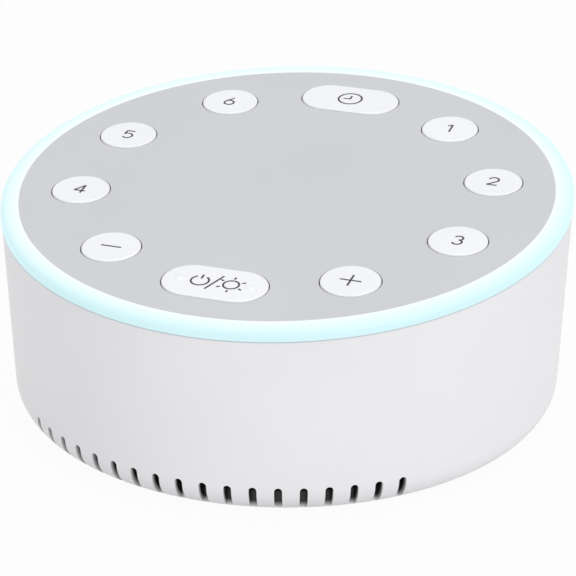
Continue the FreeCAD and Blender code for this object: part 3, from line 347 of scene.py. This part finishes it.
def studio_white(name, see_code, lit_code, keep_shadow):
    """A pale surface that is white to the camera and to mirrors, and still takes a shadow. Its
    underside is clear, so that the feet and the base can be looked at from below."""
    material, tree = new_material(name)
    rays = add(tree, "ShaderNodeLightPath")
    sharp = add(
        tree,
        "ShaderNodeMath",
        {0: rays.outputs["Is Glossy Ray"], 1: rays.outputs["Is Transmission Ray"]},
        operation="MAXIMUM",
    )
    seen = add(
        tree,
        "ShaderNodeMath",
        {0: rays.outputs["Is Camera Ray"], 1: sharp.outputs[0]},
        operation="MAXIMUM",
    )
    part = add(tree, "ShaderNodeMath", {0: seen.outputs[0], 1: 1 - keep_shadow})
    part.operation = "MULTIPLY"
    lit = add(tree, "ShaderNodeBsdfDiffuse", {"Color": sheet_colour(lit_code)})
    glow = add(tree, "ShaderNodeEmission", {"Color": sheet_colour(see_code), "Strength": 1.0})
    mix = add(
        tree,
        "ShaderNodeMixShader",
        {0: part.outputs[0], 1: lit.outputs["BSDF"], 2: glow.outputs["Emission"]},
    )
    under = add(tree, "ShaderNodeNewGeometry").outputs["Backfacing"]
    clear = add(tree, "ShaderNodeBsdfTransparent")
    open_below = add(
        tree,
        "ShaderNodeMixShader",
        {0: under, 1: mix.outputs["Shader"], 2: clear.outputs["BSDF"]},
    )
    add(tree, "ShaderNodeOutputMaterial", {"Surface": open_below.outputs["Shader"]})
    return material


def print_tree(ink):
    """Geometry Nodes: a flat printed line along every edge path of the mesh."""
    tree = bpy.data.node_groups.new("printed_lines", "GeometryNodeTree")
    face = tree.interface
    face.new_socket("Geometry", in_out="INPUT", socket_type="NodeSocketGeometry")
    for name in ("Line width", "Ink height"):
        face.new_socket(name, in_out="INPUT", socket_type="NodeSocketFloat")
    face.new_socket("Geometry", in_out="OUTPUT", socket_type="NodeSocketGeometry")
    given = add(tree, "NodeGroupInput").outputs
    paths = add(tree, "GeometryNodeMeshToCurve", {"Mesh": given["Geometry"]})
    level = add(tree, "GeometryNodeSetCurveNormal", {"Curve": paths.outputs[0]}, mode="Z_UP")
    band = add(
        tree,
        "GeometryNodeCurvePrimitiveQuadrilateral",
        {"Width": given["Line width"], "Height": given["Ink height"]},
    )
    line = add(
        tree,
        "GeometryNodeCurveToMesh",
        {"Curve": level.outputs[0], "Profile Curve": band.outputs[0], "Fill Caps": True},
    )
    real = add(tree, "GeometryNodeRealizeInstances", {"Geometry": line.outputs[0]})
    inked = add(tree, "GeometryNodeSetMaterial", {"Geometry": real.outputs[0], "Material": ink})
    add(tree, "NodeGroupOutput", {"Geometry": inked.outputs[0]})
    return tree


def set_inputs(modifier, **values):
    """Sets a modifier's inputs by the identifier of each named socket."""
    for item in modifier.node_group.interface.items_tree:
        key = item.name.replace(" ", "_")
        if item.in_out == "INPUT" and key in values:
            modifier[item.identifier] = values[key]


def arc(centre, radius, start, end):
    """Points on an arc, in degrees clockwise from the top of the key."""
    spots = []
    for i in range(ARC_STEPS + 1):
        a = math.radians(start + (end - start) * i / ARC_STEPS)
        spots.append((centre[0] + radius * math.sin(a), centre[1] + radius * math.cos(a)))
    return spots


def power_symbol():
    """A broken ring with its stroke, a slash, and a sun of six rays round a ring."""
    across, up = POWER_CENTRE
    lines = [
        arc(POWER_CENTRE, POWER_RADIUS, POWER_OPENING, 360 - POWER_OPENING),
        [(across, up + share * POWER_RADIUS) for share in POWER_STROKE],
        SLASH,
        arc(SUN_CENTRE, SUN_RADIUS, 0, 360),
    ]
    for i in range(SUN_RAYS):
        a = math.tau * i / SUN_RAYS
        aim = Vector((math.sin(a), math.cos(a)))
        root = Vector(SUN_CENTRE) + aim * SUN_RAY_IN
        lines.append([root, root + aim * SUN_RAY_LENGTH])
    return lines


def clock_symbol():
    """A ring with hands at nine o'clock."""
    return [arc((0, 0), CLOCK_RADIUS, 0, 360), *CLOCK_HANDS]


def digit(number):
    """A thin single-line figure 3.4 mm tall, centred on the key."""
    shapes = {
        1: [[(-0.7, 0.95), (0.25, 1.7)], [(0.25, 1.7), (0.25, -1.7)]],
        2: [
            arc((0, 0.7), 1.0, -80, 125) + [(-1.05, -1.6)],
            [(-1.1, -1.6), (1.15, -1.6)],
        ],
        3: [arc((0, 0.82), 0.86, -70, 165), arc((0, -0.78), 0.98, 5, 250)],
        4: [
            [(0.45, -1.7), (0.45, 1.7)],
            [(0.5, 1.7), (-1.2, -0.75)],
            [(-1.25, -0.75), (1.2, -0.75)],
        ],
        5: [
            [(0.95, 1.6), (-0.75, 1.6)],
            [(-0.75, 1.65), (-0.9, 0.15)],
            arc((-0.02, -0.6), 1.08, -55, 230),
        ],
        6: [arc((0, -0.68), 1.05, 0, 360), [(0.5, 1.7), (-0.86, -0.1)]],
    }
    return shapes[number]


LEGENDS = {
    "timer_key": clock_symbol(),
    "power_light_key": power_symbol(),
    "volume_up_key": [[(-PLUS_ARM, 0), (PLUS_ARM, 0)], [(0, -PLUS_ARM), (0, PLUS_ARM)]],
    "volume_down_key": [[(-PLUS_ARM, 0), (PLUS_ARM, 0)]],
}
for number in range(1, 7):
    LEGENDS[f"sound_key_{number}"] = digit(number)


def lay_lines(name, lines, tree):
    """The lines, in millimetres on a level face, as a plain mesh of flat ink."""
    mesh = bpy.data.meshes.new(name)
    points, edges = [], []
    for line in lines:
        first = len(points)
        points += [(x * MM, y * MM, 0) for x, y in line]
        edges += [(i, i + 1) for i in range(first, len(points) - 1)]
    mesh.from_pydata(points, edges, [])
    holder = bpy.data.objects.new(name + "_paths", mesh)
    bpy.context.scene.collection.objects.link(holder)
    modifier = holder.modifiers.new("print", "NODES")
    modifier.node_group = tree
    set_inputs(modifier, Line_width=INK_WIDTH * MM, Ink_height=INK_HEIGHT * MM)
    graph = bpy.context.evaluated_depsgraph_get()
    made = bpy.data.meshes.new_from_object(holder.evaluated_get(graph))
    bpy.data.objects.remove(holder)
    return made


def piece(name, mesh, body):
    """A finished mesh as a piece that rides on a body."""
    made = bpy.data.objects.new(name, mesh)
    bpy.context.scene.collection.objects.link(made)
    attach(made, body)
    return made


def screw_blank(name, head_radius, head_height, shank_radius, length):
    """One cross-recess screw, in metres: the head's face is at the origin and looks along +Z."""
    rings = []
    for share in FACE_RINGS:
        rings.append((share * head_radius, -FACE_DOME * share * share * head_height, True))
    rings.append((head_radius, -HEAD_RIM * head_height, False))
    rings.append((head_radius, -head_height, False))
    pitches = int((length - head_height) / THREAD_PITCH)
    for turn in range(pitches):
        top = -head_height - turn * THREAD_PITCH
        rings.append((THREAD_ROOT * shank_radius, top, False))
        rings.append((shank_radius, top - 0.5 * THREAD_PITCH, False))
    rings.append((TIP_SHARE * shank_radius, -length, False))
    points = [(0, 0, -RECESS_DEPTH * head_height)]
    for radius, height, is_face in rings:
        for i in range(SCREW_SIDES):
            a = math.tau * i / SCREW_SIDES
            x, y = radius * math.cos(a), radius * math.sin(a)
            in_arm = min(abs(x), abs(y)) < RECESS_HALF_WIDTH * head_radius
            inside = is_face and in_arm and radius < RECESS_REACH * head_radius
            drop = RECESS_DEPTH * head_height if inside else 0.0
            points.append((x, y, height - drop))
    faces = [(0, 1 + i, 1 + (i + 1) % SCREW_SIDES) for i in range(SCREW_SIDES)]
    for ring in range(len(rings) - 1):
        a, b = 1 + ring * SCREW_SIDES, 1 + (ring + 1) * SCREW_SIDES
        for i in range(SCREW_SIDES):
            j = (i + 1) % SCREW_SIDES
            faces.append((a + i, b + i, b + j, a + j))
    last = 1 + (len(rings) - 1) * SCREW_SIDES
    faces.append(tuple(last + i for i in reversed(range(SCREW_SIDES))))
    mesh = bpy.data.meshes.new(name)
    mesh.from_pydata(points, [], faces)
    return mesh


def screw_tree():
    """Geometry Nodes: one screw on every point, aimed along a direction."""
    tree = bpy.data.node_groups.new("screws_on_points", "GeometryNodeTree")
    face = tree.interface
    face.new_socket("Geometry", in_out="INPUT", socket_type="NodeSocketGeometry")
    face.new_socket("Screw", in_out="INPUT", socket_type="NodeSocketObject")
    face.new_socket("Aim", in_out="INPUT", socket_type="NodeSocketVector")
    face.new_socket("Metal", in_out="INPUT", socket_type="NodeSocketMaterial")
    face.new_socket("Geometry", in_out="OUTPUT", socket_type="NodeSocketGeometry")
    given = add(tree, "NodeGroupInput").outputs
    screw = add(tree, "GeometryNodeObjectInfo", {"Object": given["Screw"]})
    aim = add(tree, "FunctionNodeAlignRotationToVector", {"Vector": given["Aim"]}, axis="Z")
    index = add(tree, "GeometryNodeInputIndex")
    turn = add(tree, "ShaderNodeMath", {0: index.outputs[0], 1: SCREW_TURN})
    turn.operation = "MULTIPLY"
    spin = add(tree, "ShaderNodeCombineXYZ", {"Z": turn.outputs[0]})
    own = add(tree, "FunctionNodeEulerToRotation", {0: spin.outputs[0]})
    both = add(tree, "FunctionNodeRotateRotation", {0: own.outputs[0], 1: aim.outputs[0]})
    placed = add(
        tree,
        "GeometryNodeInstanceOnPoints",
        {
            "Points": given["Geometry"],
            "Instance": screw.outputs["Geometry"],
            "Rotation": both.outputs[0],
        },
    )
    real = add(tree, "GeometryNodeRealizeInstances", {"Geometry": placed.outputs[0]})
    done = add(
        tree,
        "GeometryNodeSetMaterial",
        {"Geometry": real.outputs[0], "Material": given["Metal"]},
    )
    add(tree, "NodeGroupOutput", {"Geometry": done.outputs[0]})
    return tree


def solids_of(node):
    """The separate solids of a CAD node, each as a list of its points."""
    copy = bmesh.new()
    copy.from_mesh(nodes[node].data)
    bmesh.ops.remove_doubles(copy, verts=copy.verts, dist=WELD)
    left = set(copy.verts)
    found = []
    while left:
        todo = [left.pop()]
        solid = []
        while todo:
            vert = todo.pop()
            solid.append(vert.co.copy())
            for edge in vert.link_edges:
                other = edge.other_vert(vert)
                if other in left:
                    left.discard(other)
                    todo.append(other)
        found.append(solid)
    copy.free()
    return found


def fit_screws(node, aim, sizes_mm, tree, finish):
    """Puts detailed screws where a CAD node has plain ones, all alike, with heads facing along
    aim. The sizes are the head's radius, the head's height and the shank's radius."""
    spots = []
    for solid in solids_of(node):
        reach = [p.dot(aim) for p in solid]
        middle = sum((p for p in solid), Vector()) / len(solid)
        spots.append(middle + aim * (max(reach) - middle.dot(aim)))
        length = max(reach) - min(reach)
    head_radius, head_height, shank_radius = (v * MM for v in sizes_mm)
    blank = bpy.data.objects.new(
        node + "_blank",
        screw_blank(node + "_blank", head_radius, head_height, shank_radius, length),
    )
    bpy.context.scene.collection.objects.link(blank)
    points = bpy.data.meshes.new(node + "_places")
    points.from_pydata(spots, [], [])
    holder = bpy.data.objects.new(node + "_places", points)
    bpy.context.scene.collection.objects.link(holder)
    modifier = holder.modifiers.new("screws", "NODES")
    modifier.node_group = tree
    set_inputs(modifier, Screw=blank, Aim=tuple(aim), Metal=finish)
    graph = bpy.context.evaluated_depsgraph_get()
    made = bpy.data.meshes.new_from_object(holder.evaluated_get(graph))
    bpy.data.objects.remove(holder)
    bpy.data.objects.remove(blank)
    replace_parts(piece(node + "_cross_recess", made, "housing"), node)


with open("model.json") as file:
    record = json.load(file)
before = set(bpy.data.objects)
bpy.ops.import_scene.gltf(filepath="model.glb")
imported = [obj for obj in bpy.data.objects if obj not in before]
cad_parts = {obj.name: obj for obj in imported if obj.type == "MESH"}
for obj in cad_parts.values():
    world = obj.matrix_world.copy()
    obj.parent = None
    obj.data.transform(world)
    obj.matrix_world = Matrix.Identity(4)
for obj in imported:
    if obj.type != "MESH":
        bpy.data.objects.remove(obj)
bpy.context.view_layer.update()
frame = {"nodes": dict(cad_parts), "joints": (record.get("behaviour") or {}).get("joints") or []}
nodes = frame["nodes"]

# The face of the panel: the keys press straight into it.
press = Vector(frame["joints"][0]["axis"])
out = -press.normalized()
right = Vector((1, 0, 0))
back = out.cross(right)


def key_face(node):
    """The middle of a key's face. All faces are at the level of the timer key's, which has no
    bumps."""
    spots = [v.co for v in nodes[node].data.vertices]
    level = max(v.co.dot(out) for v in nodes["timer_key"].data.vertices)
    middle = []
    for way in (right, back):
        reach = [p.dot(way) for p in spots]
        middle.append((min(reach) + max(reach)) / 2)
    return right * middle[0] + back * middle[1] + out * level


# Acrylonitrile butadiene styrene (ABS), moulded white with a fine satin grain: the outer wall.
white_abs = moulded("white_abs_satin_grain", "F3F3F4", "F1F1F2", 0.35, 0.012, 0.42)
# Painted shade: the inside of the housing and the walls of its slots darken with depth under the
# skin.
paint_shade_inside(white_abs)
# Charcoal ABS from a coarser tool, with a deeper grain: the flat base under the machine. Its dark
# colour also stands for painted shade inside the housing, seen through the slots.
base_charcoal_and_shade = moulded("charcoal_abs_coarse_grain", "242527", "1F2022", 0.6, 0.03, 0.55)
# Light grey ABS with a matte spray coat: no gloss and very even colour.
grey_abs = moulded("grey_abs_matte_coat", "D1D2D4", "CFD0D2", 0.3, 0.01, 0.62, 0.04)
# Key caps: white ABS, semi-gloss from a polished tool.
key_abs = moulded("white_abs_semi_gloss", "F8F9FA", "F6F7F8", 0.5, 0.004, 0.3, 0.04)
# Thermoplastic rubber feet: soft grey, no gloss.
rubber = moulded("grey_tpe_rubber", "8C8E90", "808284", 0.5, 0.04, 0.8)
# Chassis, plungers and baffle: black ABS straight from the tool.
black_abs = moulded("black_abs_as_moulded", "1B1B1C", "161617", 0.6, 0.02, 0.5)
# Switch bodies: black glass-filled nylon.
nylon = moulded("black_glass_filled_nylon", "202122", "18191A", 0.25, 0.02, 0.48)
# Chip bodies: epoxy moulding compound, laser-dull.
epoxy = moulded("black_epoxy_compound", "1C1C1E", "151517", 0.2, 0.01, 0.6)
# Lamp bodies: white reflector plastic with a warm tint from the phosphor.
lamp_body = moulded("white_lamp_reflector_plastic", "F2EFDC", "E6E2C8", 0.3, 0.01, 0.35)
# Speaker surround: butyl rubber, smooth and dark.
butyl = moulded("black_butyl_rubber", "1A1A1B", "141415", 0.8, 0.01, 0.45)
# Speaker cone: pressed paper pulp, fibres show.
paper = moulded("black_pressed_paper_pulp", "2E2C2A", "1F1E1D", 0.45, 0.08, 0.9)
# Magnet: sintered ferrite, ground faces.
ferrite = moulded("ground_ferrite", "3A3B3E", "2E2F31", 0.7, 0.03, 0.5, ior=2.0)
# Legends: dark grey pad-printing ink.
ink = moulded("grey_pad_printing_ink", "4A4A4D", "444447", 0.2, 0.005, 0.55)
# Steel screws, nickel plated.
nickel = metal("nickel_plated_steel", "C9C6C0", "A9A6A0", 0.6, 0.3)
# Speaker basket and iron: zinc-plated pressed steel.
zinc = metal("zinc_plated_pressed_steel", "BFC3C8", "9DA1A6", 1.2, 0.38)
# Voice coil: enamelled copper wire.
copper = metal("enamelled_copper_wire", "C77A4A", "A45F36", 0.3, 0.28)

ring_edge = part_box("light_ring")[1].x
panel_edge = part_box("top_panel")[1].x
panel_level = max(v.co.dot(out) for v in nodes["top_panel"].data.vertices)
opal = opal_acrylic(panel_edge, ring_edge, out, panel_level)
board = printed_circuit()

FINISHES = {
    "housing_plastic": white_abs,
    "base_plastic": base_charcoal_and_shade,
    "foot_rubber": rubber,
    "screw_steel": nickel,
    "ring_diffuser": opal,
    "panel_plastic": grey_abs,
    "key_plastic": key_abs,
    "circuit_board": board,
    "switch_plastic": nylon,
    "led_package": lamp_body,
    "inner_plastic": black_abs,
    "pressed_steel": zinc,
    "surround_rubber": butyl,
    "cone_paper": paper,
    "coil_copper": copper,
    "ferrite": ferrite,
    "chip_plastic": epoxy,
    "socket_steel": nickel,
}
for node in nodes.values():
    for place in node.material_slots:
        place.material = FINISHES[place.material.name.split(".")[0]]

down = Vector((0, 0, -1))
# Each node of screws: where its heads face, and its sizes in millimetres.
SCREWS = {
    "base_screws": (down, (1.98, 1.05, 1.1)),
    "panel_screws": (-out, (1.8, 1.5, 1.0)),
    "chassis_screws": (down, (2.2, 1.25, 1.25)),
    "speaker_screws": (-down, (1.6, 1.0, 1.0)),
    "main_board_screws": (-down, (1.8, 1.0, 1.0)),
}
screws = screw_tree()
for node, (aim, sizes_mm) in SCREWS.items():
    fit_screws(node, aim, sizes_mm, screws, nickel)

ink_lines = print_tree(ink)
for key, lines in LEGENDS.items():
    printed = lay_lines(key + "_legend", lines, ink_lines)
    turn = Matrix((right, back, out)).transposed().to_4x4()
    printed.transform(Matrix.Translation(key_face(key)) @ turn)
    piece(key + "_legend", printed, key)

# Studio: a pale sheet underneath, an even pale world and three soft lamps.
floor_mesh = bpy.data.meshes.new("studio_floor")
sides = ((-1, -1), (1, -1), (1, 1), (-1, 1))
corners = [(x * FLOOR_REACH, y * FLOOR_REACH, FLOOR_LEVEL) for x, y in sides]
floor_mesh.from_pydata(corners, [], [(0, 1, 2, 3)])
floor = bpy.data.objects.new("studio_floor", floor_mesh)
bpy.context.scene.collection.objects.link(floor)
paper_sweep = studio_white("white_paper_sweep", FLOOR_SEEN, FLOOR_LIT, FLOOR_SHADOW)
floor_mesh.materials.append(paper_sweep)

world = bpy.data.worlds.new("studio")
bpy.context.scene.world = world
world.use_nodes = True
sky = world.node_tree
sky.nodes.clear()
rays = add(sky, "ShaderNodeLightPath")
seen = add(
    sky,
    "ShaderNodeMath",
    {0: rays.outputs["Is Camera Ray"], 1: rays.outputs["Is Transmission Ray"]},
    operation="MAXIMUM",
)
tint = sheet_colour(SKY_TINT)
fill = add(sky, "ShaderNodeBackground", {"Color": tint, "Strength": SKY_LEVEL})
plain = add(sky, "ShaderNodeBackground", {"Color": (1, 1, 1, 1), "Strength": 1.0})
both = add(
    sky,
    "ShaderNodeMixShader",
    {0: seen.outputs[0], 1: fill.outputs[0], 2: plain.outputs[0]},
)
add(sky, "ShaderNodeOutputWorld", {"Surface": both.outputs["Shader"]})


def soft_lamp(name, spot, size, watts, tint):
    """A square soft box aimed at the middle of the object."""
    light = bpy.data.lights.new(name, "AREA")
    light.shape = "SQUARE"
    light.size = size
    light.energy = watts
    light.color = tint
    lamp = bpy.data.objects.new(name, light)
    bpy.context.scene.collection.objects.link(lamp)
    lamp.location = spot
    toward = Vector(LAMP_AIM) - lamp.location
    lamp.rotation_euler = toward.to_track_quat("-Z", "Y").to_euler()


for row in LAMPS:
    soft_lamp(*row)

lens = bpy.data.cameras.new("studio_camera")
lens.lens = CAMERA_LENS
lens.sensor_width = SENSOR_WIDTH
camera = bpy.data.objects.new("studio_camera", lens)
bpy.context.scene.collection.objects.link(camera)
spot = Vector(CAMERA_SPOT_MM) * MM
target = Vector(CAMERA_TARGET_MM) * MM
camera.location = spot
camera.rotation_euler = (target - spot).to_track_quat("-Z", "Y").to_euler()
bpy.context.scene.camera = camera
bpy.context.scene.view_settings.view_transform = "Standard"
